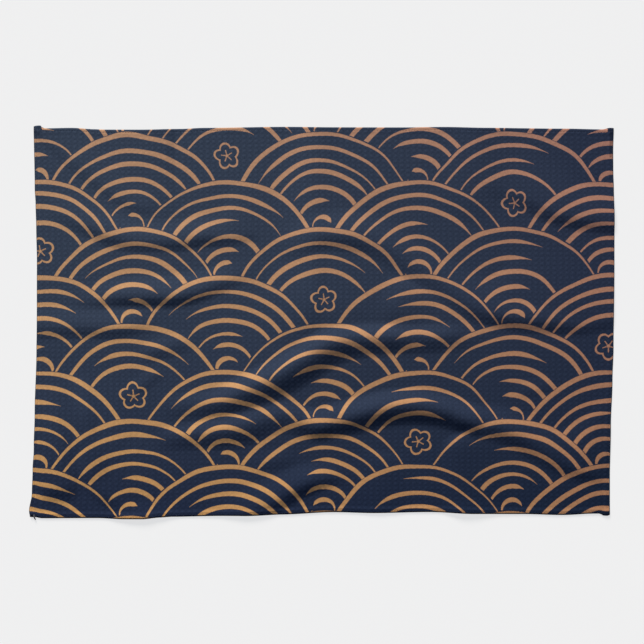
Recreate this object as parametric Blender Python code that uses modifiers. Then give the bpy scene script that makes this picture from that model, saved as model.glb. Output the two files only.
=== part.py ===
# Printed waffle tea towel, one piece of cloth with a narrow turned hem, lying flat on a
# table with soft folds still standing in it.
# Blender 4.5, metres, +Z up.  The cloth rests on z = 0 and its outline is centred on the
# origin; +X runs along the long side and +Y towards the far long side.
# The tables are in millimetres.

import math
from collections import namedtuple

import bmesh
import bpy

MM = 0.001

# The cloth as it was cut and hemmed
LENGTH = 609.6
WIDTH = 406.4
CLOTH_THICKNESS = 1.4
HEM_THICKNESS = 2.3
HEM_WIDTH = 4.0
HEM_STEP = 1.2          # the hem drops to the cloth over this distance
EAR_LENGTH = 9.0        # corner stretch where the turned hem ends stand out

# Cells of the sheet inside the hem and corner lines
CELLS_ALONG = 44
CELLS_ACROSS = 58

# Stretches that a crest is rounded into between two of its places
CREST_STEPS = 4

NAVY = (0.023, 0.033, 0.060, 1.0)
CLOTH_ROUGHNESS = 0.92

# An edge of the towel: how far it stands out from the straight cut line at a place
# along that line.  Negative is drawn in.
Edge = namedtuple("Edge", "along out")

FAR_EDGE = [
    Edge(-305, 3.3), Edge(-297, 3.3), Edge(-293, 0.3), Edge(-265, 1.1), Edge(-230, -1.4),
    Edge(-188, -0.5), Edge(-125, 1.0), Edge(-40, 2.3), Edge(5, 1.4), Edge(85, 1.4),
    Edge(127, 1.8), Edge(172, 0.8), Edge(253, 0.2), Edge(294, -0.8), Edge(301, 1.1),
    Edge(305, 1.1),
]
NEAR_EDGE = [
    Edge(-305, 1.2), Edge(-293, 2.4), Edge(-235, 2.5), Edge(-209, 3.5), Edge(-188, 2.9),
    Edge(-160, 0.8), Edge(-104, -0.2), Edge(-83, 0.2), Edge(-45, -1.4), Edge(12, -3.9),
    Edge(52, -2.8), Edge(112, -3.9), Edge(160, -2.3), Edge(211, -1.9), Edge(254, -0.9),
    Edge(289, -1.9), Edge(297, -0.1), Edge(305, -1.8),
]
LEFT_EDGE = [
    Edge(-204, 3.4), Edge(-197, 4.4), Edge(-179, 1.7), Edge(-136, -0.9), Edge(-95, -1.2),
    Edge(-30, -3.4), Edge(23, -3.9), Edge(65, -5.1), Edge(98, -3.8), Edge(124, -3.0),
    Edge(141, -1.4), Edge(204, -0.2),
]
RIGHT_EDGE = [
    Edge(-204, -3.8), Edge(-162, -3.7), Edge(-111, -2.9), Edge(-61, -1.1), Edge(-27, 0.3),
    Edge(57, 1.1), Edge(107, 1.1), Edge(158, -0.5), Edge(204, -0.7),
]

# A fold: a soft ridge whose crest runs through these places.  rise is the height of the
# crest, left and right are how far its two slopes run out, seen walking along the crest.
Crest = namedtuple("Crest", "x y rise left right")

FOLDS = {
    "far left corner crease": [
        Crest(-304, 204, 0.9, 34, 11), Crest(-288, 193, 1.0, 34, 11),
        Crest(-256, 163, 1.0, 34, 11), Crest(-224, 139, 1.0, 30, 11),
        Crest(-204, 127, 0.9, 26, 11), Crest(-188, 122, 0.8, 22, 11), Crest(-172, 121, 0.0, 18, 10),
    ],
    "upper left": [
        Crest(-290, 124, 0.0, 26, 14), Crest(-272, 114, 1.0, 26, 15), Crest(-256, 107, 1.7, 28, 15),
        Crest(-240, 100, 2.5, 26, 15), Crest(-224, 93, 2.9, 26, 16), Crest(-205, 88, 2.7, 24, 16),
        Crest(-176, 86, 2.6, 24, 15), Crest(-150, 87, 2.6, 24, 15), Crest(-126, 91, 3.0, 24, 15),
        Crest(-104, 91, 2.2, 30, 14), Crest(-84, 93, 1.5, 60, 13), Crest(-66, 96, 0.0, 60, 13),
    ],
    "left middle": [
        Crest(-268, 24, 0.0, 20, 14), Crest(-240, 25, 1.2, 20, 14),
        Crest(-225, 27, 2.3, 20, 14), Crest(-205, 28, 3.2, 22, 14),
        Crest(-186, 28, 3.8, 24, 15), Crest(-160, 28, 3.9, 24, 15),
        Crest(-140, 31, 3.6, 24, 15), Crest(-119, 38, 2.8, 22, 15),
        Crest(-100, 45, 1.6, 20, 14), Crest(-84, 51, 0.5, 18, 14), Crest(-74, 54, 0.0, 18, 14),
    ],
    "left edge": [
        Crest(-306, -4, 1.8, 22, 17), Crest(-256, -4, 2.4, 22, 16),
        Crest(-222, -5, 2.6, 22, 16), Crest(-200, -3, 2.0, 20, 15), Crest(-176, 1, 0.0, 18, 14),
    ],
    "left hook, upper": [
        Crest(-192, -38, 0.0, 12, 12), Crest(-180, -31, 1.3, 14, 13),
        Crest(-166, -27, 1.5, 15, 14), Crest(-148, -22, 1.0, 15, 14), Crest(-134, -19, 0.0, 14, 14),
    ],
    "long upper right": [
        Crest(-48, 74, 0.0, 24, 16), Crest(-24, 83, 1.4, 26, 17), Crest(-2, 91, 2.6, 28, 18),
        Crest(24, 92, 3.4, 30, 21), Crest(48, 87, 3.2, 30, 21), Crest(72, 75, 2.6, 28, 21),
        Crest(96, 60, 2.0, 26, 20), Crest(124, 43, 1.8, 28, 18), Crest(144, 27, 2.4, 34, 18),
        Crest(166, 14, 3.3, 40, 18), Crest(192, 7, 2.7, 70, 18), Crest(216, 4, 2.3, 90, 18),
        Crest(242, 1, 2.2, 90, 17), Crest(270, -2, 1.8, 90, 15), Crest(308, 5, 1.3, 70, 14),
    ],
    "centre": [
        Crest(-174, -92, 0.0, 18, 14), Crest(-140, -88, 1.8, 17, 17),
        Crest(-118, -85, 3.2, 16, 19), Crest(-101, -81, 4.4, 18, 22),
        Crest(-77, -70, 5.6, 20, 25), Crest(-50, -58, 6.3, 21, 26),
        Crest(-24, -42, 6.7, 21, 27), Crest(4, -25, 6.5, 20, 27),
        Crest(30, -18, 5.0, 18, 24), Crest(68, -16, 4.5, 17, 21),
        Crest(98, -16, 3.2, 16, 20), Crest(126, -15, 2.9, 15, 20),
        Crest(146, -15, 1.2, 15, 18), Crest(170, -20, 0.0, 14, 16),
    ],
    "lower left of centre": [
        Crest(-178, -124, 0.0, 14, 14), Crest(-150, -120, 2.0, 14, 17),
        Crest(-124, -117, 3.2, 15, 20), Crest(-104, -114, 4.0, 17, 23),
        Crest(-80, -109, 3.8, 18, 23), Crest(-58, -102, 2.8, 18, 21),
        Crest(-36, -98, 2.8, 17, 22), Crest(-16, -105, 3.4, 18, 20), Crest(10, -113, 0.0, 17, 15),
    ],
    "long lower right": [
        Crest(-20, -117, 0.0, 20, 15), Crest(-4, -110, 3.4, 23, 18),
        Crest(16, -103, 5.3, 21, 20), Crest(44, -95, 6.4, 20, 22),
        Crest(68, -89, 6.7, 20, 23), Crest(96, -88, 6.6, 20, 22),
        Crest(120, -92, 6.3, 20, 20), Crest(138, -97, 5.8, 20, 19),
        Crest(154, -103, 4.0, 20, 17), Crest(168, -111, 0.0, 18, 14),
    ],
    "far end of the long lower right": [
        Crest(136, -101, 0.0, 20, 14), Crest(152, -105, 2.2, 22, 17),
        Crest(167, -108, 3.8, 24, 18), Crest(186, -110, 4.4, 25, 19),
        Crest(207, -119, 4.0, 25, 19), Crest(228, -131, 3.2, 26, 19),
        Crest(249, -144, 3.0, 50, 18), Crest(270, -153, 2.8, 90, 17),
        Crest(286, -158, 1.5, 90, 15), Crest(298, -162, 0.0, 90, 14),
    ],
    "near edge centre": [
        Crest(-104, -212, 0.8, 30, 18), Crest(-90, -205, 1.8, 28, 18), Crest(-72, -196, 3.0, 28, 18),
        Crest(-50, -186, 3.6, 26, 17), Crest(-34, -176, 4.0, 24, 17),
        Crest(-16, -168, 4.2, 22, 16), Crest(0, -164, 3.0, 20, 15),
        Crest(16, -161, 1.0, 18, 14), Crest(36, -162, 0.0, 16, 14),
    ],
    "far right": [
        Crest(165, 150, 0.0, 40, 18), Crest(190, 142, 1.2, 48, 18),
        Crest(217, 131, 2.4, 52, 18), Crest(240, 119, 3.2, 50, 18),
        Crest(258, 113, 3.3, 42, 17), Crest(276, 110, 3.2, 38, 17), Crest(308, 106, 3.2, 36, 17),
    ],
    "near left, steep": [
        Crest(-256, -56, 0.0, 15, 15), Crest(-254, -80, 1.7, 16, 15),
        Crest(-250, -98, 2.9, 16, 15), Crest(-246, -116, 2.5, 16, 15),
        Crest(-242, -136, 2.2, 22, 18), Crest(-240, -152, 1.4, 26, 18), Crest(-238, -168, 0.0, 20, 16),
    ],
    "near left, arc": [
        Crest(-262, -146, 0.0, 60, 14), Crest(-245, -160, 1.5, 80, 20),
        Crest(-229, -179, 2.1, 80, 16), Crest(-213, -187, 1.5, 70, 15), Crest(-196, -192, 0.0, 50, 12),
    ],
    "near left corner": [
        Crest(-300, -174, 0.0, 80, 16), Crest(-289, -172, 3.0, 110, 21),
        Crest(-270, -171, 3.0, 110, 21), Crest(-256, -169, 0.0, 80, 16),
    ],
    "near left, lifted edge": [
        Crest(-228, -208, 0.0, 20, 20), Crest(-208, -208, 1.8, 22, 24),
        Crest(-190, -208, 2.7, 24, 26), Crest(-172, -208, 1.8, 24, 26), Crest(-150, -208, 0.0, 22, 22),
    ],
    "near right, lifted edge": [
        Crest(124, -208, 0.0, 22, 22), Crest(142, -208, 1.8, 26, 24),
        Crest(158, -208, 1.6, 26, 24), Crest(182, -208, 0.0, 22, 22),
    ],
    "near right, upright": [
        Crest(134, -120, 0.0, 30, 12), Crest(138, -130, 2.6, 60, 17),
        Crest(141, -150, 2.4, 60, 20), Crest(144, -170, 2.0, 60, 22),
        Crest(148, -190, 1.6, 60, 24), Crest(152, -210, 0.9, 60, 26),
    ],
}


def ease(t):
    """Smooth step from 0 to 1."""
    return t * t * (3.0 - 2.0 * t)


def edge_out(rows, along):
    """How far an edge stands out at a place along it, eased from row to row."""
    for start, end in zip(rows, rows[1:]):
        if along <= end.along:
            t = max(0.0, (along - start.along) / (end.along - start.along))
            return start.out + (end.out - start.out) * ease(t)
    return rows[-1].out


def line_places(size, inner_cells):
    """Places of the grid lines across a size: hem and corner lines, then even cells."""
    border = [0.0, HEM_WIDTH, HEM_WIDTH + HEM_STEP, EAR_LENGTH, EAR_LENGTH + HEM_WIDTH]
    inner = size - 2.0 * border[-1]
    middle = [border[-1] + inner * i / inner_cells for i in range(1, inner_cells)]
    places = border + middle + [size - place for place in reversed(border)]
    return [place - size / 2.0 for place in places]


def rounded_crest(crests):
    """The crest as a smooth line through its places, with its rise and slopes."""
    padded = [crests[0], *crests, crests[-1]]
    line = []
    for before, start, end, after in zip(padded, padded[1:], padded[2:], padded[3:]):
        for step in range(CREST_STEPS):
            t = step / CREST_STEPS
            line.append(Crest(*[
                b + 0.5 * t * (c - a + t * (2 * a - 5 * b + 4 * c - d + t * (3 * (b - c) + d - a)))
                for a, b, c, d in zip(before, start, end, after)
            ]))
    line.append(crests[-1])
    return line


def fold_height(crests, x, y):
    """Height that one fold gives the cloth at a place."""
    nearest = None
    for start, end in zip(crests, crests[1:]):
        run_x, run_y = end.x - start.x, end.y - start.y
        from_x, from_y = x - start.x, y - start.y
        t = (from_x * run_x + from_y * run_y) / (run_x ** 2 + run_y ** 2)
        t = min(max(t, 0.0), 1.0)
        distance = math.hypot(from_x - t * run_x, from_y - t * run_y)
        if nearest is None or distance < nearest:
            nearest = distance
            is_left = run_x * from_y - run_y * from_x > 0.0
            widths = (start.left, end.left) if is_left else (start.right, end.right)
            width = widths[0] + (widths[1] - widths[0]) * t
            rise = start.rise + (end.rise - start.rise) * t
    return max(0.0, rise) * ease(max(0.0, 1.0 - nearest / width))


def place_on_table(along, across, folds):
    """Where a place of the cut cloth lies, in millimetres."""
    u = along / LENGTH + 0.5
    v = across / WIDTH + 0.5
    left = -LENGTH / 2.0 - edge_out(LEFT_EDGE, across)
    right = LENGTH / 2.0 + edge_out(RIGHT_EDGE, across)
    near = -WIDTH / 2.0 - edge_out(NEAR_EDGE, along)
    far = WIDTH / 2.0 + edge_out(FAR_EDGE, along)
    x = left + (right - left) * u
    y = near + (far - near) * v
    return x, y, sum(fold_height(crests, x, y) for crests in folds)


def make_material(name, color, roughness):
    material = bpy.data.materials.new(name)
    material.use_nodes = True
    shader = material.node_tree.nodes["Principled BSDF"]
    shader.inputs["Base Color"].default_value = color
    shader.inputs["Roughness"].default_value = roughness
    shader.inputs["Metallic"].default_value = 0.0
    return material


def split_along_folds(sheet):
    """Splits each cell on the diagonal that keeps nearer to one height."""
    for face in list(sheet.faces):
        a, b, c, d = face.verts
        level = (a, c) if abs(a.co.z - c.co.z) < abs(b.co.z - d.co.z) else (b, d)
        bmesh.utils.face_split(face, *level)


def make_sheet():
    """The underside of the towel, and which of its vertices are in the hem."""
    folds = [rounded_crest(crests) for crests in FOLDS.values()]
    columns = line_places(LENGTH, CELLS_ALONG)
    rows = line_places(WIDTH, CELLS_ACROSS)
    sheet = bmesh.new()
    bmesh.ops.create_grid(sheet, x_segments=len(columns) - 1, y_segments=len(rows) - 1, size=0.5)
    hem = []
    for vert in sheet.verts:
        along = columns[round((vert.co.x + 0.5) * (len(columns) - 1))]
        across = rows[round((vert.co.y + 0.5) * (len(rows) - 1))]
        to_edge = min(LENGTH / 2.0 - abs(along), WIDTH / 2.0 - abs(across))
        if to_edge <= HEM_WIDTH + 0.01:
            hem.append(vert.index)
        vert.co = place_on_table(along, across, folds)
    split_along_folds(sheet)
    lowest = [min(vert.co[axis] for vert in sheet.verts) for axis in range(3)]
    highest = [max(vert.co[axis] for vert in sheet.verts) for axis in range(3)]
    centre_x = (lowest[0] + highest[0]) / 2.0
    centre_y = (lowest[1] + highest[1]) / 2.0
    bmesh.ops.translate(sheet, verts=sheet.verts, vec=(-centre_x, -centre_y, -lowest[2]))
    bmesh.ops.scale(sheet, verts=sheet.verts, vec=(MM, MM, MM))
    mesh = bpy.data.meshes.new("towel")
    sheet.to_mesh(mesh)
    sheet.free()
    mesh.shade_smooth()
    return mesh, hem


def make_towel(collection):
    mesh, hem = make_sheet()
    towel = bpy.data.objects.new("towel", mesh)
    collection.objects.link(towel)
    mesh.materials.append(make_material("navy cloth", NAVY, CLOTH_ROUGHNESS))
    group = towel.vertex_groups.new(name="hem")
    group.add(hem, 1.0, "REPLACE")
    cloth = towel.modifiers.new("cloth and hem thickness", "SOLIDIFY")
    cloth.thickness = HEM_THICKNESS * MM
    cloth.offset = 1.0
    cloth.vertex_group = group.name
    cloth.thickness_vertex_group = CLOTH_THICKNESS / HEM_THICKNESS


def main():
    for old in list(bpy.data.objects):
        bpy.data.objects.remove(old, do_unlink=True)
    collection = bpy.data.collections.new("tea_towel")
    bpy.context.scene.collection.children.link(collection)
    make_towel(collection)


main()
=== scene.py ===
# Printed waffle tea towel lying on a pale table, with soft folds standing in it.
# Lengths in the tables are millimetres; the finished meshes are in metres, +Z up.
import math
from collections import namedtuple

import bmesh
import bpy
import numpy as np
from mathutils import Matrix, Vector


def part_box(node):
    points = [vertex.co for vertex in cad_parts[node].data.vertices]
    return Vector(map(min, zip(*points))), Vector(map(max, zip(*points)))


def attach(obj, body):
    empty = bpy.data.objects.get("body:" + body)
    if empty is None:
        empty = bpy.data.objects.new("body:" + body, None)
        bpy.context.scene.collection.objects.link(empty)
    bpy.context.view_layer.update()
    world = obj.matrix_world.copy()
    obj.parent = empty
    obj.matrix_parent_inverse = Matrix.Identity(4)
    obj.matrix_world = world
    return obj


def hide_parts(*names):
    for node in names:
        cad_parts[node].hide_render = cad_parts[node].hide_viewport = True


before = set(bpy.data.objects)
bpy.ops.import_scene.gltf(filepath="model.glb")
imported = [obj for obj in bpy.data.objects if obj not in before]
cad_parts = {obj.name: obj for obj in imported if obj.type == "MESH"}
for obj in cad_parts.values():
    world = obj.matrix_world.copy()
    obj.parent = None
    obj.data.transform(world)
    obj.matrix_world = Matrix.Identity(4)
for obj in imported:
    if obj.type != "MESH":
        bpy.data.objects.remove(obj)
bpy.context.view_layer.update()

mm = 0.001

# the cloth as it was cut and hemmed
towel = {
    "name": "towel_cloth_sheet",
    "length": 609.6,
    "width": 406.4,
    "clothThickness": 1.2,
    "hemThickness": 1.7,
    "hemPressed": 0.2,        # share of the hem's step left at the three well-pressed edges
    "cornerExtra": 0.6,       # the two hems lie over each other at a corner
    "hemWidth": 4.0,
    "hemStep": 3.0,           # the hem drops to the cloth over this distance
    "edgeRound": 1.8,         # how far in the folded edge is rounded
    "edgeFlat": 0.24,         # share of the thickness left upright at the very edge
    "edgeCut": 2.1,           # the mesh's first cut in from the edge, just past its rounding
    "pucker": 0.07,           # how far the sewn hem is drawn up and down
    "puckerWaves": 10,
    "shortestPucker": 7.0,
    "longestPucker": 22.0,
    "puckerSeed": 5,
    "stitchGroove": 0.10,
    "grooveWidth": 0.8,
    "waffleInset": 5.0,       # the waffle's cells are counted from this far in
    "cellsAlong": 94,
    "cellsAcross": 78,
    "cellCuts": 2,            # each waffle cell of the printed face is cut into 3 by 3
    "waffleDepth": 0.14,
    "waffleCrossings": 0.42,  # what its crossings, columns and rows each add to the waffle
    "waffleColumns": 0.41,
    "waffleRows": 0.17,
    "hemWaffle": 0.45,        # share of the waffle left in the pressed hem
    "bowReach": 140.0,        # how far in from an edge its bow dies out
    "earReach": 9.0,
}

# An edge of the towel: how far it stands out from the straight cut line at a place along it.
Edge = namedtuple("Edge", "along out")

bows = {
    "far": [
        Edge(-305, 0.3), Edge(-293, 0.3), Edge(-265, 0.8), Edge(-241, -0.6), Edge(-230, -1.0),
        Edge(-188, -1.1), Edge(-150, -0.3), Edge(-125, 0.8), Edge(-40, 1.9), Edge(5, 1.3),
        Edge(85, 1.3), Edge(127, 1.8), Edge(172, 0.8), Edge(253, 0.0), Edge(294, -0.8), Edge(305, -0.8),
    ],
    "near": [
        Edge(-305, 1.4), Edge(-293, 3.0), Edge(-235, 2.8), Edge(-209, 4.0), Edge(-190, 4.0),
        Edge(-171, 2.2), Edge(-160, 1.4), Edge(-104, 0.5), Edge(-83, 0.5), Edge(-45, -0.9),
        Edge(12, -3.4), Edge(52, -2.5), Edge(112, -3.5), Edge(160, -1.5), Edge(211, -1.4),
        Edge(254, -0.4), Edge(289, -1.9), Edge(305, -1.8),
    ],
    "left": [
        Edge(-204, 3.0), Edge(-197, 4.0), Edge(-179, 1.1), Edge(-155, 0.3), Edge(-136, -1.1),
        Edge(-95, -2.0), Edge(-30, -3.7), Edge(0, -4.2), Edge(23, -4.1), Edge(65, -4.2),
        Edge(98, -3.5), Edge(124, -2.8), Edge(141, -1.9), Edge(204, -0.9),
    ],
    "right": [
        Edge(-204, -3.4), Edge(-162, -3.4), Edge(-111, -2.4), Edge(-61, -0.6), Edge(-27, 0.5),
        Edge(57, 1.4), Edge(107, 1.5), Edge(140, 0.8), Edge(160, 0.2), Edge(180, 0.1), Edge(204, 0.7),
    ],
}

# The ends of the turned hem, which stand out past the edge at the corners.
ears = {
    "far": [
        Edge(-305, 2.0), Edge(-302, 2.8), Edge(-298, 3.0), Edge(-295, 0.0),
        Edge(298.2, 0.0), Edge(299.6, 1.6), Edge(303.4, 1.6), Edge(305, 1.1),
    ],
    "near": [
        Edge(-305, 0.2), Edge(-302, 0.2), Edge(-299, -0.6), Edge(-292, 0.0),
        Edge(294, 0.0), Edge(298, 2.0), Edge(302, 2.2), Edge(305, 1.2),
    ],
}

# A fold: a soft ridge whose crest runs through these places.  rise is the height of the
# crest, left and right are how far its two slopes run out, seen walking along the crest.
Crest = namedtuple("Crest", "x y rise left right")

folds = {
    "far left corner crease": [
        Crest(-304, 204, 0.9, 34, 11), Crest(-288, 193, 1.0, 34, 11),
        Crest(-256, 163, 1.0, 34, 11), Crest(-224, 139, 1.0, 30, 11),
        Crest(-204, 127, 0.9, 26, 11), Crest(-188, 122, 0.8, 22, 11), Crest(-172, 121, 0.0, 18, 10),
    ],
    "upper left": [
        Crest(-290, 124, 0.0, 26, 14), Crest(-272, 114, 1.0, 26, 15), Crest(-256, 107, 1.7, 28, 15),
        Crest(-240, 100, 2.5, 26, 15), Crest(-224, 93, 2.9, 26, 16), Crest(-205, 88, 2.7, 24, 16),
        Crest(-176, 86, 2.6, 24, 15), Crest(-150, 87, 2.6, 24, 15), Crest(-126, 91, 3.0, 24, 15),
        Crest(-104, 91, 2.2, 30, 14), Crest(-84, 93, 1.5, 60, 13), Crest(-66, 96, 0.0, 60, 13),
    ],
    "left middle": [
        Crest(-268, 24, 0.0, 20, 14), Crest(-240, 25, 1.2, 20, 14),
        Crest(-225, 27, 2.3, 20, 14), Crest(-205, 28, 3.2, 22, 14),
        Crest(-186, 28, 3.8, 24, 15), Crest(-160, 28, 3.9, 24, 15),
        Crest(-140, 31, 3.6, 24, 15), Crest(-119, 38, 2.8, 22, 15),
        Crest(-100, 45, 1.6, 20, 14), Crest(-84, 51, 0.5, 18, 14), Crest(-74, 54, 0.0, 18, 14),
    ],
    "left edge": [
        Crest(-306, -4, 1.8, 22, 17), Crest(-256, -4, 2.4, 22, 16),
        Crest(-222, -5, 2.6, 22, 16), Crest(-200, -3, 2.0, 20, 15), Crest(-176, 1, 0.0, 18, 14),
    ],
    "left hook, upper": [
        Crest(-192, -38, 0.0, 12, 12), Crest(-180, -31, 1.3, 14, 13),
        Crest(-166, -27, 1.5, 15, 14), Crest(-148, -22, 1.0, 15, 14), Crest(-134, -19, 0.0, 14, 14),
    ],
    "left hook, lower": [
        Crest(-214, -82, 0.0, 12, 10), Crest(-202, -75, 0.7, 12, 10),
        Crest(-178, -57, 0.7, 12, 10), Crest(-166, -50, 0.0, 12, 10),
    ],
    "long upper right": [
        Crest(-48, 74, 0.0, 24, 16), Crest(-24, 83, 1.4, 26, 17), Crest(-2, 91, 2.6, 28, 18),
        Crest(24, 92, 3.4, 30, 21), Crest(48, 87, 3.2, 30, 21), Crest(72, 75, 2.6, 28, 21),
        Crest(96, 60, 2.0, 26, 20), Crest(124, 43, 1.8, 28, 18), Crest(144, 27, 2.4, 34, 18),
        Crest(166, 14, 3.3, 40, 18), Crest(192, 7, 2.7, 70, 18), Crest(216, 4, 2.3, 90, 18),
        Crest(242, 1, 2.2, 90, 17), Crest(270, -2, 1.8, 90, 15), Crest(308, 5, 1.3, 70, 14),
    ],
    "rib on the long upper right": [
        Crest(168, 14, 0.0, 16, 16), Crest(192, 8, 1.2, 18, 18), Crest(216, 5, 1.4, 18, 18),
        Crest(240, 2, 0.9, 14, 17), Crest(262, -1, 0.4, 12, 14), Crest(280, -2, 0.0, 12, 14),
    ],
    "centre": [
        Crest(-174, -92, 0.0, 18, 14), Crest(-140, -88, 1.8, 17, 17),
        Crest(-118, -85, 3.2, 16, 19), Crest(-101, -81, 4.4, 18, 22),
        Crest(-77, -70, 5.6, 20, 25), Crest(-50, -58, 6.3, 21, 26),
        Crest(-24, -42, 6.7, 21, 27), Crest(4, -25, 6.5, 20, 27),
        Crest(30, -18, 5.0, 18, 24), Crest(68, -16, 4.5, 17, 21),
        Crest(98, -16, 3.2, 16, 20), Crest(126, -15, 2.9, 15, 20),
        Crest(146, -15, 1.2, 15, 18), Crest(170, -20, 0.0, 14, 16),
    ],
    "lower left of centre": [
        Crest(-178, -124, 0.0, 14, 14), Crest(-150, -120, 2.0, 14, 17),
        Crest(-124, -117, 3.2, 15, 20), Crest(-104, -114, 4.0, 17, 23),
        Crest(-80, -109, 3.8, 18, 23), Crest(-58, -102, 2.8, 18, 21),
        Crest(-36, -98, 2.8, 17, 22), Crest(-16, -105, 3.4, 18, 20), Crest(10, -113, 0.0, 17, 15),
    ],
    "long lower right": [
        Crest(-20, -117, 0.0, 20, 15), Crest(-4, -110, 3.4, 23, 18),
        Crest(16, -103, 5.3, 21, 20), Crest(44, -95, 6.4, 20, 22),
        Crest(68, -89, 6.7, 20, 23), Crest(96, -88, 6.6, 20, 22),
        Crest(120, -92, 6.3, 20, 20), Crest(138, -97, 5.8, 20, 19),
        Crest(154, -103, 4.0, 20, 17), Crest(168, -111, 0.0, 18, 14),
    ],
    "far end of the long lower right": [
        Crest(136, -101, 0.0, 20, 14), Crest(152, -105, 2.2, 22, 17),
        Crest(167, -108, 3.8, 24, 18), Crest(186, -110, 4.4, 25, 19),
        Crest(207, -119, 4.0, 25, 19), Crest(228, -131, 3.2, 26, 19),
        Crest(249, -144, 3.0, 50, 18), Crest(270, -153, 2.8, 90, 17),
        Crest(286, -158, 1.5, 90, 15), Crest(298, -162, 0.0, 90, 14),
    ],
    "near edge centre": [
        Crest(-104, -212, 0.8, 30, 18), Crest(-90, -205, 1.8, 28, 18), Crest(-72, -196, 3.0, 28, 18),
        Crest(-50, -186, 3.6, 26, 17), Crest(-34, -176, 4.0, 24, 17),
        Crest(-16, -168, 4.2, 22, 16), Crest(0, -164, 3.0, 20, 15),
        Crest(16, -161, 1.0, 18, 14), Crest(36, -162, 0.0, 16, 14),
    ],
    "far right": [
        Crest(165, 150, 0.0, 40, 18), Crest(190, 142, 1.2, 48, 18),
        Crest(217, 131, 2.4, 52, 18), Crest(240, 119, 3.2, 50, 18),
        Crest(258, 113, 3.3, 42, 17), Crest(276, 110, 3.2, 38, 17), Crest(308, 106, 3.2, 36, 17),
    ],
    "near left, steep": [
        Crest(-256, -56, 0.0, 15, 15), Crest(-254, -80, 1.7, 16, 15),
        Crest(-250, -98, 2.9, 16, 15), Crest(-246, -116, 2.5, 16, 15),
        Crest(-242, -136, 2.2, 22, 18), Crest(-240, -152, 1.4, 26, 18), Crest(-238, -168, 0.0, 20, 16),
    ],
    "near left, slope": [
        Crest(-306, -112, 1.4, 70, 70), Crest(-262, -116, 2.0, 80, 70),
        Crest(-228, -124, 1.8, 80, 64), Crest(-200, -134, 0.0, 50, 50),
    ],
    "near left, arc": [
        Crest(-262, -146, 0.0, 60, 14), Crest(-245, -160, 1.5, 80, 20),
        Crest(-229, -179, 2.1, 80, 16), Crest(-213, -187, 1.5, 70, 15), Crest(-196, -192, 0.0, 50, 12),
    ],
    "near left corner": [
        Crest(-300, -174, 0.0, 80, 16), Crest(-289, -172, 3.0, 110, 21),
        Crest(-270, -171, 3.0, 110, 21), Crest(-256, -169, 0.0, 80, 16),
    ],
    "near left, upright": [
        Crest(-200, -122, 0.0, 26, 16), Crest(-194, -148, 1.0, 32, 20),
        Crest(-188, -176, 1.3, 34, 24), Crest(-186, -198, 0.0, 30, 24),
    ],
    "near left, lifted edge": [
        Crest(-228, -208, 0.0, 20, 20), Crest(-208, -208, 1.8, 22, 24),
        Crest(-190, -208, 2.7, 24, 26), Crest(-172, -208, 1.8, 24, 26), Crest(-150, -208, 0.0, 22, 22),
    ],
    "near right, lifted edge": [
        Crest(124, -208, 0.0, 22, 22), Crest(142, -208, 1.8, 26, 24),
        Crest(158, -208, 1.6, 26, 24), Crest(182, -208, 0.0, 22, 22),
    ],
    "near right, upright": [
        Crest(134, -120, 0.0, 30, 12), Crest(138, -130, 2.6, 60, 17),
        Crest(141, -150, 2.4, 60, 20), Crest(144, -170, 2.0, 60, 22),
        Crest(148, -190, 1.6, 60, 24), Crest(152, -210, 0.9, 60, 26),
    ],
    "near middle, upright": [
        Crest(66, -136, 0.0, 26, 30), Crest(64, -150, 1.4, 30, 34),
        Crest(62, -184, 1.2, 30, 34), Crest(62, -212, 0.3, 30, 34),
    ],
    "packing fold, left": [
        Crest(-166, 212, 2.4, 16, 60), Crest(-166, 190, 2.0, 13, 60),
        Crest(-166, 160, 1.0, 12, 50), Crest(-165, 130, 0.5, 12, 40), Crest(-164, 100, 0.0, 12, 30),
    ],
    "packing fold, middle": [
        Crest(-4, 212, 2.4, 90, 40), Crest(-6, 170, 3.0, 90, 42),
        Crest(-10, 120, 3.6, 90, 44), Crest(-8, 60, 3.4, 90, 50),
        Crest(-12, 20, 3.2, 90, 60), Crest(-18, -10, 1.6, 80, 60), Crest(-22, -30, 0.0, 60, 50),
    ],
    "packing crease, middle": [
        Crest(-2, 212, 1.4, 30, 30), Crest(-4, 170, 0.7, 22, 30),
        Crest(-9, 120, 0.5, 20, 30), Crest(-9, 60, 0.9, 17, 30),
        Crest(-12, 15, 1.3, 15, 30), Crest(-16, -14, 0.0, 14, 24),
    ],
    "packing fold, right": [
        Crest(166, 212, 2.2, 44, 34), Crest(162, 170, 1.8, 40, 40),
        Crest(154, 130, 1.4, 40, 44), Crest(146, 105, 0.0, 36, 36),
    ],
    "upright over the centre": [
        Crest(90, 44, 0.0, 26, 20), Crest(86, 34, 1.8, 40, 26),
        Crest(79, 14, 2.2, 40, 26), Crest(72, -4, 0.0, 36, 20),
    ],
    "swell behind the centre": [
        Crest(-170, -88, 0.0, 60, 60), Crest(-110, -80, 1.0, 80, 80),
        Crest(-60, -56, 1.8, 90, 100), Crest(-24, -34, 2.0, 95, 120),
        Crest(4, -18, 1.9, 95, 130), Crest(40, -6, 1.8, 90, 130),
        Crest(72, -4, 1.6, 80, 130), Crest(126, -6, 1.0, 60, 110), Crest(170, -14, 0.0, 50, 80),
    ],
    "short, left of the near edge fold": [
        Crest(-80, -154, 0.0, 14, 12), Crest(-62, -148, 0.9, 15, 13),
        Crest(-44, -144, 0.9, 15, 13), Crest(-28, -141, 0.0, 14, 12),
    ],
    "dent, right": [
        Crest(200, -78, 0.0, 12, 9), Crest(212, -74, 0.5, 14, 9),
        Crest(232, -68, 0.5, 14, 9), Crest(244, -67, 0.0, 12, 9),
    ],
}

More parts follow.
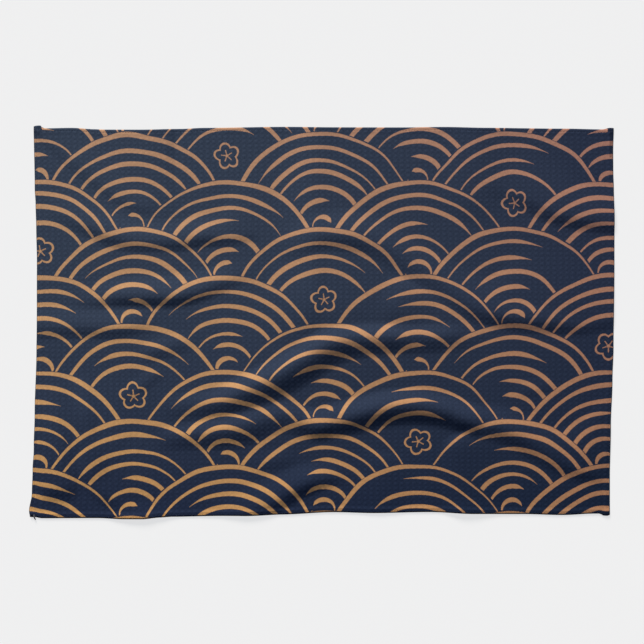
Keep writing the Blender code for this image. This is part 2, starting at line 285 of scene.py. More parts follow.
cloth = {
    "crestSteps": 4,          # stretches that a crest is rounded into between two places
    "mapStep": 1.0,           # spacing of the height map
    "mapMargin": 18.0,
    "undulation": 0.10,       # cloth is never quite flat between its folds
    "undulationWaves": 14,
    "shortestWave": 24.0,
    "longestWave": 110.0,
    "seed": 11,
}


def ease(t):
    return t * t * (3.0 - 2.0 * t)


def fade(distance, reach):    # 1 at an edge, 0 from reach inwards
    return ease(np.clip(1.0 - distance / reach, 0.0, 1.0))


def edgeOut(rows, along):
    places = np.array([row.along for row in rows], float)
    outs = np.array([row.out for row in rows], float)
    start = np.clip(np.searchsorted(places, along) - 1, 0, len(rows) - 2)
    t = np.clip((along - places[start]) / (places[start + 1] - places[start]), 0.0, 1.0)
    return outs[start] + (outs[start + 1] - outs[start]) * ease(t)


def edgePull(side, along, distance):
    pull = edgeOut(bows[side], along) * fade(distance, towel["bowReach"])
    if side in ears:
        pull = pull + edgeOut(ears[side], along) * fade(distance, towel["earReach"])
    return pull


def edgeReach(side):          # the furthest that an edge stands out
    reach = max(row.out for row in bows[side])
    if side in ears:
        places = np.arange(-towel["length"] / 2.0, towel["length"] / 2.0)
        reach = (edgeOut(bows[side], places) + edgeOut(ears[side], places)).max()
    return reach


# the outline's own centre, and where the frame has it
low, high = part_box("towel")
shiftX = (low[0] + high[0]) / 2.0 / mm - (edgeReach("right") - edgeReach("left")) / 2.0
shiftY = (low[1] + high[1]) / 2.0 / mm - (edgeReach("far") - edgeReach("near")) / 2.0


def roundedCrest(crests):     # a smooth line through the places, with its rise and slopes
    padded = [crests[0], *crests, crests[-1]]
    line = []
    for before, start, end, after in zip(padded, padded[1:], padded[2:], padded[3:]):
        for step in range(cloth["crestSteps"]):
            t = step / cloth["crestSteps"]
            line.append(Crest(*[
                b + 0.5 * t * (c - a + t * (2 * a - 5 * b + 4 * c - d + t * (3 * (b - c) + d - a)))
                for a, b, c, d in zip(before, start, end, after)
            ]))
    line.append(crests[-1])
    return line


def addFold(crests, x, y, height):
    line = roundedCrest(crests)
    widest = max(max(crest.left, crest.right) for crest in line)
    inX = np.abs(x[0] - sum(c.x for c in (min(line), max(line))) / 2.0)
    reachX = (max(line).x - min(line).x) / 2.0 + widest
    lowY, highY = min(c.y for c in line) - widest, max(c.y for c in line) + widest
    columns = np.flatnonzero(inX <= reachX)
    rows = np.flatnonzero((y[:, 0] >= lowY) & (y[:, 0] <= highY))
    patch = np.ix_(rows, columns)
    px, py = x[patch], y[patch]
    nearest = np.full(px.shape, np.inf)
    width = np.ones(px.shape)
    rise = np.zeros(px.shape)
    for start, end in zip(line, line[1:]):
        runX, runY = end.x - start.x, end.y - start.y
        fromX, fromY = px - start.x, py - start.y
        t = np.clip((fromX * runX + fromY * runY) / (runX ** 2 + runY ** 2), 0.0, 1.0)
        distance = np.hypot(fromX - t * runX, fromY - t * runY)
        closer = distance < nearest
        isLeft = runX * fromY - runY * fromX > 0.0
        slope = np.where(
            isLeft,
            start.left + (end.left - start.left) * t,
            start.right + (end.right - start.right) * t,
        )
        nearest = np.where(closer, distance, nearest)
        width = np.where(closer, slope, width)
        rise = np.where(closer, start.rise + (end.rise - start.rise) * t, rise)
    height[patch] += np.maximum(rise, 0.0) * fade(nearest, width)


def softWaves(x, y, waves, shortest, longest, seed):
    chance = np.random.default_rng(seed)
    total = np.zeros(np.shape(x))
    for _ in range(waves):
        length = shortest * (longest / shortest) ** chance.random()
        turn, phase = chance.uniform(0.0, 2.0 * math.pi, 2)
        along = x * math.cos(turn) + y * math.sin(turn)
        total += np.sin(along * 2.0 * math.pi / length + phase) * (length / longest) ** 0.5
    return total / math.sqrt(waves)


def makeHeightMap():
    reachX = towel["length"] / 2.0 + cloth["mapMargin"]
    reachY = towel["width"] / 2.0 + cloth["mapMargin"]
    columns = np.arange(-reachX, reachX + cloth["mapStep"], cloth["mapStep"])
    rows = np.arange(-reachY, reachY + cloth["mapStep"], cloth["mapStep"])
    x, y = np.meshgrid(columns, rows)
    height = np.zeros(x.shape)
    for crests in folds.values():
        addFold(crests, x, y, height)
    waves = softWaves(
        x, y, cloth["undulationWaves"], cloth["shortestWave"], cloth["longestWave"], cloth["seed"],
    )
    height += cloth["undulation"] * np.maximum(waves, 0.0) ** 2
    slopeY, slopeX = np.gradient(height, cloth["mapStep"])
    return {"columns": columns, "rows": rows, "height": height, "slopeX": slopeX, "slopeY": slopeY}


def readMap(name, x, y):
    # read between its four nearest places
    grid = heightMap[name]
    lastRow, lastColumn = grid.shape[0] - 1.001, grid.shape[1] - 1.001
    column = np.clip((x - heightMap["columns"][0]) / cloth["mapStep"], 0, lastColumn)
    row = np.clip((y - heightMap["rows"][0]) / cloth["mapStep"], 0, lastRow)
    c, r = column.astype(int), row.astype(int)
    s, t = column - c, row - r
    return (
        grid[r, c] * (1 - s) * (1 - t) + grid[r, c + 1] * s * (1 - t)
        + grid[r + 1, c] * (1 - s) * t + grid[r + 1, c + 1] * s * t
    )


def layOnTable(along, across, lift):
    # lift is measured from the underside of the cloth, square to it
    x = (along + edgePull("right", across, towel["length"] / 2.0 - along)
         - edgePull("left", across, towel["length"] / 2.0 + along))
    y = (across + edgePull("far", along, towel["width"] / 2.0 - across)
         - edgePull("near", along, towel["width"] / 2.0 + across))
    slopeX, slopeY = readMap("slopeX", x, y), readMap("slopeY", x, y)
    steep = np.sqrt(1.0 + slopeX ** 2 + slopeY ** 2)
    z = readMap("height", x, y) + lift / steep
    x = x - slopeX * lift / steep + shiftX
    y = y - slopeY * lift / steep + shiftY
    return np.stack([x, y, z], axis=-1) * mm


def edgeDistance(along, across):
    return np.minimum(towel["length"] / 2.0 - np.abs(along), towel["width"] / 2.0 - np.abs(across))


def hemShare(distance):       # 1 in the turned hem, 0 in the single cloth
    return ease(np.clip(1.0 - (distance - towel["hemWidth"]) / towel["hemStep"], 0.0, 1.0))


def roundEdge(distance):      # 0 at the very edge, 1 past the rounded fold
    t = np.clip(distance / towel["edgeRound"], 0.0, 1.0)
    return np.sqrt(1.0 - (1.0 - t) ** 2)


def clothThickness(along, across):
    inHemX = hemShare(towel["length"] / 2.0 - np.abs(along))
    inHemY = hemShare(towel["width"] / 2.0 - np.abs(across))
    inHem = np.maximum(inHemX, inHemY)
    step = towel["hemThickness"] - towel["clothThickness"]
    pressed = towel["hemPressed"] * np.maximum(inHemX, inHemY * (across > 0.0))
    thickness = towel["clothThickness"] + step * np.maximum(pressed, inHemY * (across < 0.0))
    thickness = thickness + towel["cornerExtra"] * inHemX * inHemY
    pucker = softWaves(
        along, across, towel["puckerWaves"], towel["shortestPucker"], towel["longestPucker"],
        towel["puckerSeed"],
    )
    return thickness + towel["pucker"] * pucker * inHem


def waffleSwing(place, cells, size):    # 1 on a ridge of the waffle, -1 halfway to the next
    return np.cos((place / size + 0.5) * cells * 2.0 * math.pi)


def printedLift(along, across):
    distance = edgeDistance(along, across)
    inHem = hemShare(distance)
    inset = towel["waffleInset"]
    swingX = waffleSwing(along, towel["cellsAlong"], towel["length"] - 2.0 * inset)
    swingY = waffleSwing(across, towel["cellsAcross"], towel["width"] - 2.0 * inset)
    waffle = (swingX * swingY * towel["waffleCrossings"] + swingX * towel["waffleColumns"]
              + swingY * towel["waffleRows"])
    waffle = waffle * towel["waffleDepth"] * (1.0 - (1.0 - towel["hemWaffle"]) * inHem)
    groove = np.exp(-((distance - stitching["inset"]) / towel["grooveWidth"]) ** 2)
    thickness = clothThickness(along, across) - towel["stitchGroove"] * groove
    flat = towel["edgeFlat"] / 2.0
    share = 0.5 + flat + (0.5 - flat) * roundEdge(distance)
    return thickness * share + waffle * roundEdge(distance)


def undersideLift(along, across):
    flat = towel["edgeFlat"] / 2.0
    share = (0.5 - flat) * (1.0 - roundEdge(edgeDistance(along, across)))
    return clothThickness(along, across) * share


def gridLines(size, cells):
    border = [0.0, towel["edgeCut"], towel["hemWidth"], towel["waffleInset"]]
    inner = size - 2.0 * border[-1]
    middle = [border[-1] + inner * i / cells for i in range(1, cells)]
    places = border + middle + [size - place for place in reversed(border)]
    return np.array(places) - size / 2.0


# Hem stitching, sewn round a little way in from the edge.
stitching = {
    "name": "hem_stitching",
    "inset": 2.7,
    "pitch": 3.0,
    "length": 2.3,
    "thickness": 0.42,
    "above": 0.05,            # how far the middle of a stitch is above its groove
    "lean": 4.0,              # degrees that a stitch may lie askew
    "leanPace": 2.4,
    "sides": 6,
    "rings": 4,
}


def writeCutPlace(mesh, along, across, side):
    places = mesh.attributes.new("cutPlace", "FLOAT_VECTOR", "POINT")
    values = np.stack([along, across, side], axis=-1).astype(np.float32)
    places.data.foreach_set("vector", values.ravel())


# Where the parts of the sheet lie in its unwrapping: how far up each starts and how high it is.
unwrapping = {
    "margin": 0.005,
    "width": 0.99,
    "printedFace": (0.345, 0.65),
    "underside": (0.005, 0.295),
    "edgeStrip": (0.306, 0.006),
    "stripPitch": 0.009,
    "border": 1e-4,           # what counts as the very edge, as a share of the side
    "allOf": 0.99,            # what counts as all of a face's corners, and as none
    "noneOf": 0.01,
}


def unwrapSheet(mesh, along, across, side):
    # the printed face above, the underside below, the four edge strips between them
    loopVerts = np.empty(len(mesh.loops), np.int32)
    mesh.loops.foreach_get("vertex_index", loopVerts)
    starts = np.empty(len(mesh.polygons), np.int32)
    mesh.polygons.foreach_get("loop_start", starts)
    counts = np.empty(len(mesh.polygons), np.int32)
    mesh.polygons.foreach_get("loop_total", counts)
    u = along / towel["length"] + 0.5
    v = across / towel["width"] + 0.5
    below = np.add.reduceat(side[loopVerts], starts) / counts
    allOf, noneOf, border = unwrapping["allOf"], unwrapping["noneOf"], unwrapping["border"]
    faceUp, faceHigh = unwrapping["printedFace"]
    underUp, underHigh = unwrapping["underside"]
    stripUp, stripHigh = unwrapping["edgeStrip"]
    isFace = np.repeat(below, counts) < noneOf
    uv = np.empty((len(loopVerts), 2))
    uv[:, 0] = unwrapping["margin"] + unwrapping["width"] * u[loopVerts]
    uv[:, 1] = np.where(
        isFace, faceUp + faceHigh * v[loopVerts], underUp + underHigh * v[loopVerts],
    )
    onEdge = [(v < border, u), (v > 1 - border, u), (u < border, v), (u > 1 - border, v)]
    rim = (below > noneOf) & (below < allOf)
    for strip, (isOn, place) in enumerate(onEdge):
        allOn = np.add.reduceat(isOn[loopVerts].astype(float), starts) / counts > allOf
        mine = np.repeat(rim & allOn, counts)
        uv[mine, 0] = unwrapping["margin"] + unwrapping["width"] * place[loopVerts][mine]
        up = stripUp + unwrapping["stripPitch"] * strip
        uv[mine, 1] = up + stripHigh * (1.0 - side[loopVerts][mine])
    layer = mesh.uv_layers.new(name="OFBake")
    layer.data.foreach_set("uv", uv.astype(np.float32).ravel())


def makeSheet():
    columns = gridLines(towel["length"], towel["cellsAlong"])
    rows = gridLines(towel["width"], towel["cellsAcross"])
    # a square grid, its underside drawn down from it, then the printed face cut finer
    bm = bmesh.new()
    bmesh.ops.create_grid(bm, x_segments=len(columns) - 1, y_segments=len(rows) - 1, size=0.5)
    below = bmesh.ops.extrude_face_region(bm, geom=bm.faces[:], use_keep_orig=True)
    verts = [item for item in below["geom"] if isinstance(item, bmesh.types.BMVert)]
    bmesh.ops.translate(bm, verts=verts, vec=(0.0, 0.0, -1.0))
    bmesh.ops.recalc_face_normals(bm, faces=bm.faces)
    above = [edge for edge in bm.edges if max(abs(vert.co.z) for vert in edge.verts) < 0.5]
    bmesh.ops.subdivide_edges(bm, edges=above, cuts=towel["cellCuts"], use_grid_fill=True)
    mesh = bpy.data.meshes.new(towel["name"])
    bm.to_mesh(mesh)
    bm.free()
    flat = np.empty(len(mesh.vertices) * 3)
    mesh.vertices.foreach_get("co", flat)
    flat = flat.reshape(-1, 3)
    # the grid's places on the cut cloth, then on the table
    along = np.interp((flat[:, 0] + 0.5) * (len(columns) - 1), range(len(columns)), columns)
    across = np.interp((flat[:, 1] + 0.5) * (len(rows) - 1), range(len(rows)), rows)
    side = (flat[:, 2] < -0.5).astype(float)
    lift = np.where(side > 0.5, undersideLift(along, across), printedLift(along, across))
    places = layOnTable(along, across, lift)
    mesh.vertices.foreach_set("co", places.ravel())
    writeCutPlace(mesh, along, across, side)
    unwrapSheet(mesh, along, across, side)
    mesh.shade_smooth()
    mesh.update()
    return mesh


def makeStitching():
    bm = bmesh.new()
    halfLength, halfWidth = towel["length"] / 2.0, towel["width"] / 2.0
    inset = stitching["inset"]
    runs = [
        (halfLength - inset, 0.0, halfWidth - inset), (halfLength - inset, 0.0, inset - halfWidth),
        (halfWidth - inset, 90.0, halfLength - inset), (halfWidth - inset, 90.0, inset - halfLength),
    ]
    for half, turn, offset in runs:
        count = int(2.0 * half / stitching["pitch"])
        for i in range(count):
            place = (i + 0.5) * 2.0 * half / count - half
            lean = math.radians(turn + stitching["lean"] * math.sin(i * stitching["leanPace"]))
            x, y = (place, offset) if turn == 0.0 else (offset, place)
            sizes = (stitching["length"], stitching["thickness"], stitching["thickness"], 1.0)
            bmesh.ops.create_uvsphere(
                bm, u_segments=stitching["sides"], v_segments=stitching["rings"], radius=0.5,
                matrix=Matrix.Translation((x, y, 0.0)) @ Matrix.Rotation(lean, 4, "Z")
                @ Matrix.Diagonal(sizes) @ Matrix.Rotation(math.pi / 2.0, 4, "Y"),
            )
    mesh = bpy.data.meshes.new(stitching["name"])
    bm.to_mesh(mesh)
    bm.free()
    flat = np.empty(len(mesh.vertices) * 3)
    mesh.vertices.foreach_get("co", flat)
    flat = flat.reshape(-1, 3)
    along, across = flat[:, 0], flat[:, 1]
    groove = clothThickness(along, across) - towel["stitchGroove"]
    places = layOnTable(along, across, groove + stitching["above"] + flat[:, 2])
    mesh.vertices.foreach_set("co", places.ravel())
    writeCutPlace(mesh, along, across, np.zeros(len(flat)))
    mesh.shade_smooth()
    mesh.update()
    return mesh


# A loose end of the hem thread at the near left corner.
threadEnd = {
    "name": "hem_thread_end",
    "thickness": 2.0,
    "tip": 0.4,               # share of the thickness left at the loose end
    "sides": 8,
    "route": [
        (-303.8, -202.4, 1.6), (-303.5, -204.0, 2.1), (-303.1, -205.4, 2.0), (-302.6, -206.7, 1.6),
        (-301.9, -207.8, 1.1),
    ],
}


def makeThreadEnd():
    route = [Vector(place) + Vector((shiftX, shiftY, 0.0)) for place in threadEnd["route"]]
    bm = bmesh.new()
    ring = before = None
    for i, place in enumerate(route):
        ahead = route[min(i + 1, len(route) - 1)] - route[max(i - 1, 0)]
        taper = 1.0 - (1.0 - threadEnd["tip"]) * (i / (len(route) - 1)) ** 2
        pose = Matrix.Translation(place * mm) @ ahead.to_track_quat("Z", "Y").to_matrix().to_4x4()
        pose = pose @ Matrix.Diagonal((taper, taper, 1.0, 1.0))
        if ring is None:
            bmesh.ops.create_circle(
                bm, cap_ends=True, segments=threadEnd["sides"],
                radius=threadEnd["thickness"] / 2.0 * mm, matrix=pose,
            )
            ring = bm.faces[:]
        else:
            made = bmesh.ops.extrude_face_region(bm, geom=ring, use_keep_orig=i == 1)["geom"]
            ring = [item for item in made if isinstance(item, bmesh.types.BMFace)]
            verts = [item for item in made if isinstance(item, bmesh.types.BMVert)]
            bmesh.ops.transform(bm, verts=verts, matrix=pose @ before.inverted())
        before = pose
    bmesh.ops.recalc_face_normals(bm, faces=bm.faces)
    mesh = bpy.data.meshes.new(threadEnd["name"])
    bm.to_mesh(mesh)
    bm.free()
    mesh.shade_smooth()
    return mesh


class Wire:                   # one socket's value, which takes part in Python sums
    def __init__(self, bench, socket):
        self.bench, self.socket = bench, socket

    def math(self, operation, *others):
        return self.bench.math(operation, self, *others)

    def __add__(self, other):
        return self.math("ADD", other)

    def __sub__(self, other):
        return self.math("SUBTRACT", other)

    def __rsub__(self, other):
        return self.bench.math("SUBTRACT", other, self)

    def __mul__(self, other):
        return self.math("MULTIPLY", other)

    def __truediv__(self, other):
        return self.math("DIVIDE", other)

    def __mod__(self, other):
        return self.math("FLOORED_MODULO", other)

    def __lt__(self, other):
        return self.math("LESS_THAN", other)

    def __gt__(self, other):
        return self.math("GREATER_THAN", other)

    def __abs__(self):
        return self.math("ABSOLUTE")

    def __floor__(self):
        return self.math("FLOOR")

    __radd__ = __add__
    __rmul__ = __mul__


class Bench:                  # where a material's nodes are made
    def __init__(self, name):
        self.material = bpy.data.materials.new(name)
        self.material.use_nodes = True
        self.tree = self.material.node_tree
        self.shader = self.tree.nodes["Principled BSDF"]

    def add(self, kind, settings, sockets, out=0):
        node = self.tree.nodes.new(kind)
        for name, value in settings.items():
            setattr(node, name, value)
        self.feed(node, sockets)
        return Wire(self, node.outputs[out])

    def feed(self, node, sockets):
        for name, value in sockets.items():
            if isinstance(value, Wire):
                self.tree.links.new(value.socket, node.inputs[name])
            else:
                node.inputs[name].default_value = value

    def math(self, operation, *values):
        return self.add("ShaderNodeMath", {"operation": operation}, dict(enumerate(values)))

    def mix(self, kind, factor, first, second):
        sockets = {"FLOAT": (2, 3, 0), "VECTOR": (4, 5, 1), "RGBA": (6, 7, 2)}[kind]
        return self.add(
            "ShaderNodeMix", {"data_type": kind}, {0: factor, sockets[0]: first, sockets[1]: second},
            sockets[2],
        )

    def smooth(self, value, low, high):
        return self.add(
            "ShaderNodeMapRange", {"interpolation_type": "SMOOTHSTEP"},
            {"Value": value, "From Min": low, "From Max": high},
        )

    def window(self, value, low, high, soft):    # 1 between low and high, with soft ends
        starts = self.smooth(value, low - soft, low + soft)
        ends = self.smooth(value, high - soft, high + soft)
        return starts * (1.0 - ends)

    def parts(self, vector):
        node = self.tree.nodes.new("ShaderNodeSeparateXYZ")
        self.feed(node, {"Vector": vector})
        return [Wire(self, output) for output in node.outputs]

    def vector(self, x, y, z=0.0):
        return self.add("ShaderNodeCombineXYZ", {}, {"X": x, "Y": y, "Z": z})

    def chance(self, vector):   # three even chances for each whole-number place
        color = self.add("ShaderNodeTexWhiteNoise", {"noise_dimensions": "3D"}, {"Vector": vector}, 1)
        return self.parts(color)


def linear(red, green, blue):   # a colour given as 0 to 255 on screen
    def single(value):
        value = value / 255.0
        return value / 12.92 if value <= 0.04045 else ((value + 0.055) / 1.055) ** 2.4
    return (single(red), single(green), single(blue), 1.0)


# Overlapping scales of brushed rings, with a small blossom at the foot of some of them. The same table
# holds the cloth's colours, with painted light in the navy and painted shade at the rim.
printAndShade = {
    "scaleRadius": 100.0,
    "rings": 7,
    "ringPlace": 0.8,         # where in its band a ring lies
    "ringStray": 1.7,
    "thickest": 4.9,
    "thinnest": 1.2,
    "thickenOver": 1.75,      # radians to either side of a ring's heaviest place
    "heavySway": 1.3,         # radians over which that place is scattered about the top
    "earliestStart": 0.25,    # radians up from the side where an inner ring starts
    "startSway": 2.2,
    "startTaper": 0.45,
    "hairline": 0.1,          # a ring thinner than this to its middle isn't drawn
    "ringSeed": 7.0,
    "flowerSeed": 3.0,
    "wobble": 5.0,
    "wobbleSize": 70.0,
    "inkEdge": 0.45,
    "blossomEvery": 8.0,      # half columns from one blossom to the next along a row
    "blossomShift": 3.0,      # half columns that the next row's blossoms stand aside
    "blossomRadius": 13.5,
    "blossomHeight": 24.0,
    "blossomLine": 1.1,
    "petals": 5,
    "petalWaist": 0.70,       # how far out the line is between two petals
    "stamenFrom": 2.0,
    "stamenTo": 6.4,
    "stamenLine": 0.5,
    "stamenSpread": 0.4,
    "eyeRadius": 1.7,
    "blossomClears": 3,       # rings that a blossom takes the place of
    # painted light: the navy is painted lighter toward the far left, where the light comes from, and
    # darker toward the near right
    "navy": {
        "farLeft": linear(51, 61, 77), "farRight": linear(37, 45, 64),
        "nearLeft": linear(30, 39, 60), "nearRight": linear(20, 31, 50),
    },
    "gold": {
        "farLeft": linear(177, 137, 106), "farRight": linear(155, 111, 96),
        "nearLeft": linear(187, 142, 87), "nearRight": linear(153, 110, 80),
    },
    "underside": linear(24, 30, 44),
    "showThrough": 0.10,      # share of the ink that shows on the underside
    # the colour of the painted shade along the folded edge
    "rim": linear(9, 12, 22),
    "rimShadeDepth": 0.85,         # painted shade along the folded near and side edges, which face away from the light: how dark it is, and between which places it fades
    "rimShadeSides": (0.2, 0.9),
    "rimShadeNear": (0.7, 2.2),
    "hemEndSoft": 0.6,
}

# The turned ends of the hem at the corners: how dark they are, and the share of the ink
# that didn't reach them.
HemEnd = namedtuple("HemEnd", "left right near far dark bare")

hemEnds = [
    HemEnd(-320, -296.5, 200.4, 220, 0.15, 1.0),
    HemEnd(298.4, 320, 199.6, 220, 0.3, 1.0),
    HemEnd(300.8, 320, 174, 220, 0.3, 0.0),
    HemEnd(297, 320, -220, -200.2, 0.4, 1.0),
    HemEnd(-320, -300.8, -220, -200.6, 0.9, 1.0),
]


def cornerBlend(bench, u, v, colors):
    near = bench.mix("RGBA", u, colors["nearLeft"], colors["nearRight"])
    far = bench.mix("RGBA", u, colors["farLeft"], colors["farRight"])
    return bench.mix("RGBA", v, near, far)


def scaleUnder(bench, along, across):
    # the place inside the scale on top, measured from its centre, and that scale's number
    radius = printAndShade["scaleRadius"]
    pitch = radius / 2.0
    firstRow = math.floor((across - radius) / pitch) + 1.0
    place = cell = None
    for step in (2, 1, 0):
        row = firstRow + float(step)
        slid = along - (row % 2.0) * radius + radius
        column = math.floor(slid / (2.0 * radius))
        x = slid - column * (2.0 * radius) - radius
        y = across - row * pitch
        thisPlace, thisCell = bench.vector(x, y), bench.vector(column, row)
        if place is None:
            place, cell = thisPlace, thisCell
        else:
            inside = (x * x + y * y) < radius ** 2
            place = bench.mix("VECTOR", inside, place, thisPlace)
            cell = bench.mix("VECTOR", inside, cell, thisCell)
    return bench.parts(place), bench.parts(cell)


def brushedRings(bench, x, y, column, row, hasBlossom):
    band = printAndShade["scaleRadius"] / printAndShade["rings"]
    lastRing = printAndShade["rings"] - 1.0
    radius = (x * x + y * y).math("SQRT")
    angle = y.math("ARCTAN2", x)
    ring = math.floor(radius / band + (0.5 - printAndShade["ringPlace"]))
    isOuter = ring > lastRing - 0.5
    stray, heavy, finish = bench.chance(bench.vector(column, row, ring + printAndShade["ringSeed"]))
    place = (ring + printAndShade["ringPlace"]) * band
    place = place + (stray - 0.5) * 2.0 * printAndShade["ringStray"] * (1.0 - isOuter)
    heavyAngle = math.pi / 2.0 + (heavy - 0.5) * printAndShade["heavySway"]
    heavier = 1.0 - bench.smooth(abs(angle - heavyAngle), 0.0, printAndShade["thickenOver"])
    width = printAndShade["thinnest"] + (printAndShade["thickest"] - printAndShade["thinnest"]) * heavier
    fromEnd = bench.mix("FLOAT", finish > 0.5, angle, math.pi - angle)
    start = printAndShade["earliestStart"] + abs(finish - 0.5) * printAndShade["startSway"]
    drawn = bench.smooth(fromEnd, start, start + printAndShade["startTaper"])
    width = width * bench.mix("FLOAT", isOuter, drawn, 1.0) / 2.0
    edge = printAndShade["inkEdge"]
    ink = 1.0 - bench.smooth(abs(radius - place), width - edge, width + edge)
    cleared = hasBlossom * (ring < printAndShade["blossomClears"] - 0.5)
    visible = (width > printAndShade["hairline"]) * (ring > -0.5)
    return ink * (1.0 - cleared) * visible


def blossom(bench, x, y, turn):
    y = y - printAndShade["blossomHeight"]
    radius = (x * x + y * y).math("SQRT")
    petalTurn = (y.math("ARCTAN2", x) + turn * 2.0 * math.pi) * (printAndShade["petals"] / 2.0)
    petal = abs(petalTurn.math("COSINE"))
    between = abs(petalTurn.math("SINE"))
    waist, eye = printAndShade["petalWaist"], printAndShade["eyeRadius"]
    outline = (waist + (1.0 - waist) * petal) * printAndShade["blossomRadius"]
    line, thin, edge = printAndShade["blossomLine"], printAndShade["stamenLine"], printAndShade["inkEdge"]
    ink = 1.0 - bench.smooth(abs(radius - outline), line - edge, line + edge)
    across = radius * between * printAndShade["stamenSpread"]
    stamen = 1.0 - bench.smooth(across, thin - edge, thin + edge)
    stamen = stamen * (radius > printAndShade["stamenFrom"]) * (radius < printAndShade["stamenTo"])
    middle = 1.0 - bench.smooth(radius, eye - edge, eye + edge)
    return ink.math("MAXIMUM", stamen.math("MAXIMUM", middle))


def paintPrint(bench, along, across):
    place = bench.vector(along, across)
    wobble = bench.add(
        "ShaderNodeTexNoise", {"noise_dimensions": "3D"},
        {"Vector": place, "Scale": 1.0 / printAndShade["wobbleSize"], "Detail": 1.0}, 1,
    )
    strayX, strayY, _ = bench.parts(wobble)
    along = along + (strayX - 0.5) * 2.0 * printAndShade["wobble"]
    across = across + (strayY - 0.5) * 2.0 * printAndShade["wobble"]
    (x, y, _), (column, row, _) = scaleUnder(bench, along, across)
    turn, _, _ = bench.chance(bench.vector(column, row, printAndShade["flowerSeed"]))
    halfColumn = column * 2.0 + row % 2.0
    hasBlossom = ((halfColumn + row * printAndShade["blossomShift"]) % printAndShade["blossomEvery"]) < 1.0
    rings = brushedRings(bench, x, y, column, row, hasBlossom)
    flower = blossom(bench, x, y, turn) * hasBlossom
    return rings.math("MAXIMUM", flower)


weave = {
    "cellAlong": (towel["length"] - 2.0 * towel["waffleInset"]) / towel["cellsAlong"],
    "cellAcross": (towel["width"] - 2.0 * towel["waffleInset"]) / towel["cellsAcross"],
    "yarn": 0.62,
    "yarnBump": 0.25,
    "waffleBump": 0.5,
    "wafflePaintedShade": 0.09,       # painted highlight on the ridges and painted shade in the pits: how much lighter and darker they are than the cloth between
    "underInk": 0.35,         # share of the weave that still shows under the gold ink
    "roughness": 0.9,
    "sheen": 0.01,
    "dyeNoise": 0.50,
    "dyeUnderInk": 0.5,       # share of that unevenness that shows in the gold ink
    "inkUneven": 0.10,
    "inkSmoother": 0.06,
    "specular": 0.05,
    "sheenRoughness": 0.4,
    "fuzzScale": 0.6,
    "fuzzDetail": 4.0,
    "fuzzRoughness": 0.65,
    "fuzzBump": 0.35,
    "yarnShare": 0.2,
    "bumpStrength": 0.6,
    "bumpDepth": 0.4,
}


def waffleWave(place, cell):  # 1 on a ridge of the waffle, -1 halfway to the next
    return (place * (2.0 * math.pi / cell)).math("COSINE")


def makeTowelMaterial():
    bench = Bench("printed waffle cloth, painted shade")
    place = bench.add("ShaderNodeAttribute", {"attribute_name": "cutPlace"}, {}, 1)
    along, across, side = bench.parts(place)
    u = along / towel["length"] + 0.5
    v = across / towel["width"] + 0.5
    gold = paintPrint(bench, along, across)
    # painted shade along the folded near and side edges, which face away from the light; the far edge
    # faces the light and gets none. The hem ends are darkened in the same mix.
    inSide = bench.smooth(towel["length"] / 2.0 - abs(along), *printAndShade["rimShadeSides"])
    inNear = bench.smooth(towel["width"] / 2.0 + across, *printAndShade["rimShadeNear"])
    depth, soft = printAndShade["rimShadeDepth"], printAndShade["hemEndSoft"]
    rim = (depth - depth * inSide).math("MAXIMUM", depth - depth * inNear)
    for end in hemEnds:
        here = bench.window(along, end.left, end.right, soft)
        here = here * bench.window(across, end.near, end.far, soft)
        rim = rim.math("MAXIMUM", here * end.dark)
        gold = gold * (1.0 - here * end.bare)

    waveAlong = waffleWave(along, weave["cellAlong"])
    waveAcross = waffleWave(across, weave["cellAcross"])
    waffle = (waveAlong * waveAcross * towel["waffleCrossings"] + waveAlong * towel["waffleColumns"]
              + waveAcross * towel["waffleRows"])
    fuzz = bench.add("ShaderNodeTexNoise", {"noise_dimensions": "3D"}, {
        "Vector": place,
        "Scale": weave["fuzzScale"],
        "Detail": weave["fuzzDetail"],
        "Roughness": weave["fuzzRoughness"],
    })
    waffle = waffle * (1.0 - (1.0 - weave["underInk"]) * gold)
    unevenness = 2.0 * weave["dyeNoise"] * (1.0 - (1.0 - weave["dyeUnderInk"]) * gold)
    # uneven dye, plus painted shade in the waffle's pits and a painted highlight on its ridges
    dyeAndWeaveShade = 1.0 + (fuzz - 0.5) * unevenness + waffle * weave["wafflePaintedShade"]

    towardRight, towardFar = u * u, v * (2.0 - v)
    # the navy's blend spreads its painted light from the far left over the cloth
    navy = cornerBlend(bench, towardRight, towardFar, printAndShade["navy"])
    ochre = cornerBlend(bench, (u + towardRight) * 0.5, v, printAndShade["gold"])
    cover = 1.0 - weave["inkUneven"] + weave["inkUneven"] * fuzz
    inked = bench.mix("RGBA", gold * cover, navy, ochre)
    # the painted shade at the rim darkens the printed face toward the rim colour
    front = bench.mix("RGBA", rim, inked, printAndShade["rim"])
    back = bench.mix("RGBA", gold * printAndShade["showThrough"], printAndShade["underside"], ochre)
    color = bench.mix("RGBA", side > 0.5, front, back)
    shaded = bench.add("ShaderNodeVectorMath", {"operation": "SCALE"}, {0: color, "Scale": dyeAndWeaveShade})

    yarnAlong = (along * (math.pi / weave["yarn"])).math("SINE")
    yarnAcross = (across * (math.pi / weave["yarn"])).math("SINE")
    yarn = yarnAlong * yarnAcross * weave["yarnBump"] + fuzz * weave["fuzzBump"]
    bump = bench.add("ShaderNodeBump", {}, {
        "Strength": weave["bumpStrength"],
        "Distance": weave["bumpDepth"] * mm,
        "Height": waffle * weave["waffleBump"] + yarn * weave["yarnShare"],
    })
    bench.feed(bench.shader, {
        "Base Color": shaded,
        "Roughness": weave["roughness"] - weave["inkSmoother"] * gold,
        "Specular IOR Level": weave["specular"],
        "Sheen Weight": weave["sheen"],
        "Sheen Roughness": weave["sheenRoughness"],
        "Normal": bump,
    })
    return bench.material


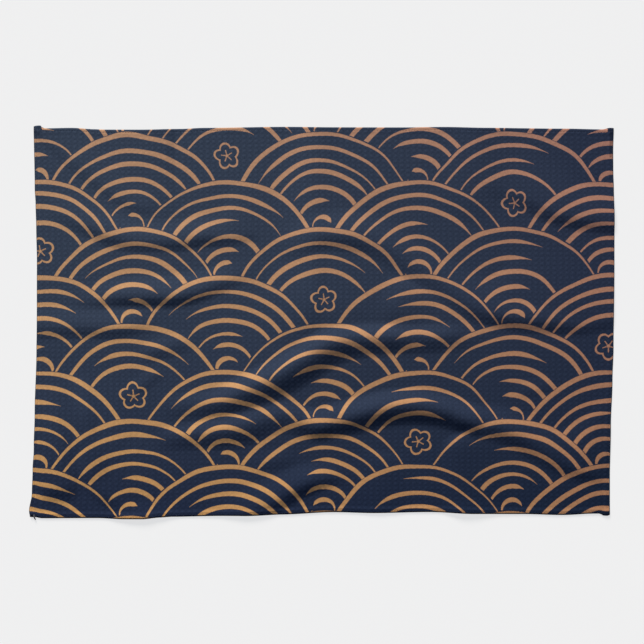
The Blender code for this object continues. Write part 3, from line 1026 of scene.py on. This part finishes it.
thread = {
    "dark": linear(8, 10, 18),
    "light": linear(20, 25, 38),
    "fuzzScale": 1800.0,
    "fuzzDetail": 2.0,
    "roughness": 0.7,
    "sheen": 0.1,
    "bumpStrength": 0.4,
    "bumpDepth": 0.1,
}


def makeThreadMaterial():
    bench = Bench("navy sewing thread")
    place = bench.add("ShaderNodeTexCoord", {}, {}, 3)
    fuzz = bench.add(
        "ShaderNodeTexNoise", {},
        {"Vector": place, "Scale": thread["fuzzScale"], "Detail": thread["fuzzDetail"]},
    )
    bump = bench.add("ShaderNodeBump", {}, {
        "Strength": thread["bumpStrength"],
        "Distance": thread["bumpDepth"] * mm,
        "Height": fuzz,
    })
    bench.feed(bench.shader, {
        "Base Color": bench.mix("RGBA", fuzz, thread["dark"], thread["light"]),
        "Roughness": thread["roughness"],
        "Sheen Weight": thread["sheen"],
        "Normal": bump,
    })
    return bench.material


def showPiece(mesh, name, material):
    piece = bpy.data.objects.new(name, mesh)
    bpy.context.scene.collection.objects.link(piece)
    mesh.materials.append(material)
    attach(piece, "root")
    return piece


# A pale table top, soft light from low over the far left, and the camera straight above.
studio = {
    "floorSize": 18.0,
    "floorGrey": 0.17,
    "floorGlow": 0.70,
    "floorRoughness": 0.9,
    "sunStrength": 6.05,
    "sunColor": (1.06, 1.005, 0.93),
    "sunFrom": (-0.25, 0.83, 0.40),
    "sunAngle": 20.0,
    "skyStrength": 0.17,
    "skyColor": (0.72, 1.0, 1.5, 1.0),
    "lens": 200.0,
    "sensor": 36.0,
    "viewWidth": 0.6768,
    "cameraX": 0.0002,
    "cameraY": 0.0004,
    "farthestSeen": 50.0,
}


def makeStudio():
    scene = bpy.context.scene
    bpy.ops.mesh.primitive_plane_add(size=studio["floorSize"])
    floor = bpy.context.object
    floor.name = "table_top"
    bench = Bench("pale table top")
    bench.feed(bench.shader, {
        "Base Color": (studio["floorGrey"],) * 3 + (1.0,),
        "Roughness": studio["floorRoughness"],
        "Specular IOR Level": 0.0,
        "Emission Color": (1.0, 1.0, 1.0, 1.0),
        "Emission Strength": studio["floorGlow"],
    })
    floor.data.materials.append(bench.material)

    sun = bpy.data.objects.new("window light", bpy.data.lights.new("window light", "SUN"))
    scene.collection.objects.link(sun)
    sun.data.energy = studio["sunStrength"]
    sun.data.color = studio["sunColor"]
    sun.data.angle = math.radians(studio["sunAngle"])
    sun.rotation_mode = "QUATERNION"
    sun.rotation_quaternion = Vector(studio["sunFrom"]).to_track_quat("Z", "Y")

    world = bpy.data.worlds.new("studio")
    scene.world = world
    world.use_nodes = True
    sky = world.node_tree.nodes["Background"]
    sky.inputs["Color"].default_value = studio["skyColor"]
    sky.inputs["Strength"].default_value = studio["skyStrength"]

    camera = bpy.data.objects.new("camera", bpy.data.cameras.new("camera"))
    scene.collection.objects.link(camera)
    camera.data.lens = studio["lens"]
    camera.data.sensor_width = studio["sensor"]
    distance = studio["viewWidth"] * studio["lens"] / studio["sensor"]
    camera.location = (studio["cameraX"], studio["cameraY"], distance)
    camera.data.clip_end = studio["farthestSeen"]
    scene.camera = camera
    scene.view_settings.view_transform = "Standard"


heightMap = makeHeightMap()
print("height map of the folds made")
towelMaterial = makeTowelMaterial()
sheet = showPiece(makeSheet(), towel["name"], towelMaterial)
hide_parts("towel")
print("towel sheet made:", len(sheet.data.polygons), "faces")
# the towel was printed after it was sewn, so its stitches carry the print
stitches = showPiece(makeStitching(), stitching["name"], towelMaterial)
loose = showPiece(makeThreadEnd(), threadEnd["name"], makeThreadMaterial())
print("hem stitching and thread end made")
makeStudio()
print("table, light and camera set")
